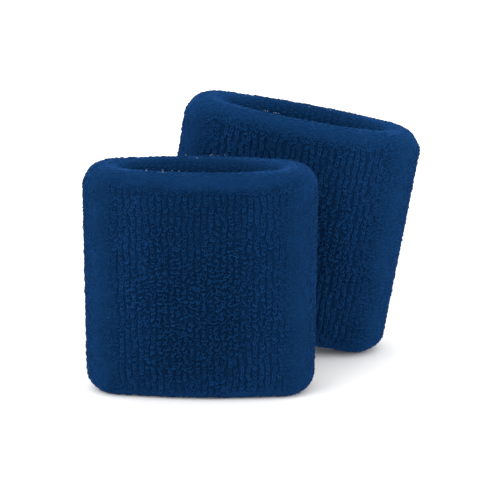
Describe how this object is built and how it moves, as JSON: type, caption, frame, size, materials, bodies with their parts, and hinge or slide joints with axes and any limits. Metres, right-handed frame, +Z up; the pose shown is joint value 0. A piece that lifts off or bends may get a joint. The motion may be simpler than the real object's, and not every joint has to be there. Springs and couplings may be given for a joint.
{
  "type": "terry sweat wristband pair",
  "caption": "Short soft terry tubes, folded double and elastic, worn round the wrist to soak up sweat; one stands upright, the other leans behind it.",
  "frame": {"origin": "middle of the front band's base, on the surface it stands on, where its wrist axis meets that surface", "axes": "+Z up along the front band's wrist axis, +X along its flattened width, +Y from the front band towards the rear one"},
  "size_m": [0.113, 0.0726, 0.0903],
  "materials": {
    "terry_pile": "looped cotton terry, matt with a soft sheen at its edges",
    "ground_knit": "ribbed cotton and nylon knit",
    "elastic_yarn": "covered elastic yarn",
    "seam_thread": "spun polyester sewing thread"
  },
  "bodies": {
    "front_band": {"front_band_terry_pile": "terry_pile", "front_band_ground_knit": "ground_knit", "front_band_outer_elastic": "elastic_yarn", "front_band_inner_elastic": "elastic_yarn", "front_band_needle_thread": "seam_thread", "front_band_looper_thread": "seam_thread"},
    "rear_band": {"rear_band_terry_pile": "terry_pile", "rear_band_ground_knit": "ground_knit", "rear_band_outer_elastic": "elastic_yarn", "rear_band_inner_elastic": "elastic_yarn", "rear_band_needle_thread": "seam_thread", "rear_band_looper_thread": "seam_thread"}
  },
  "joints": [
    {"name": "rear_band_lift", "type": "slide", "parent": "front_band", "child": "rear_band", "axis": [0, 0, 1], "range_m": [0, 0.1]}
  ]
}
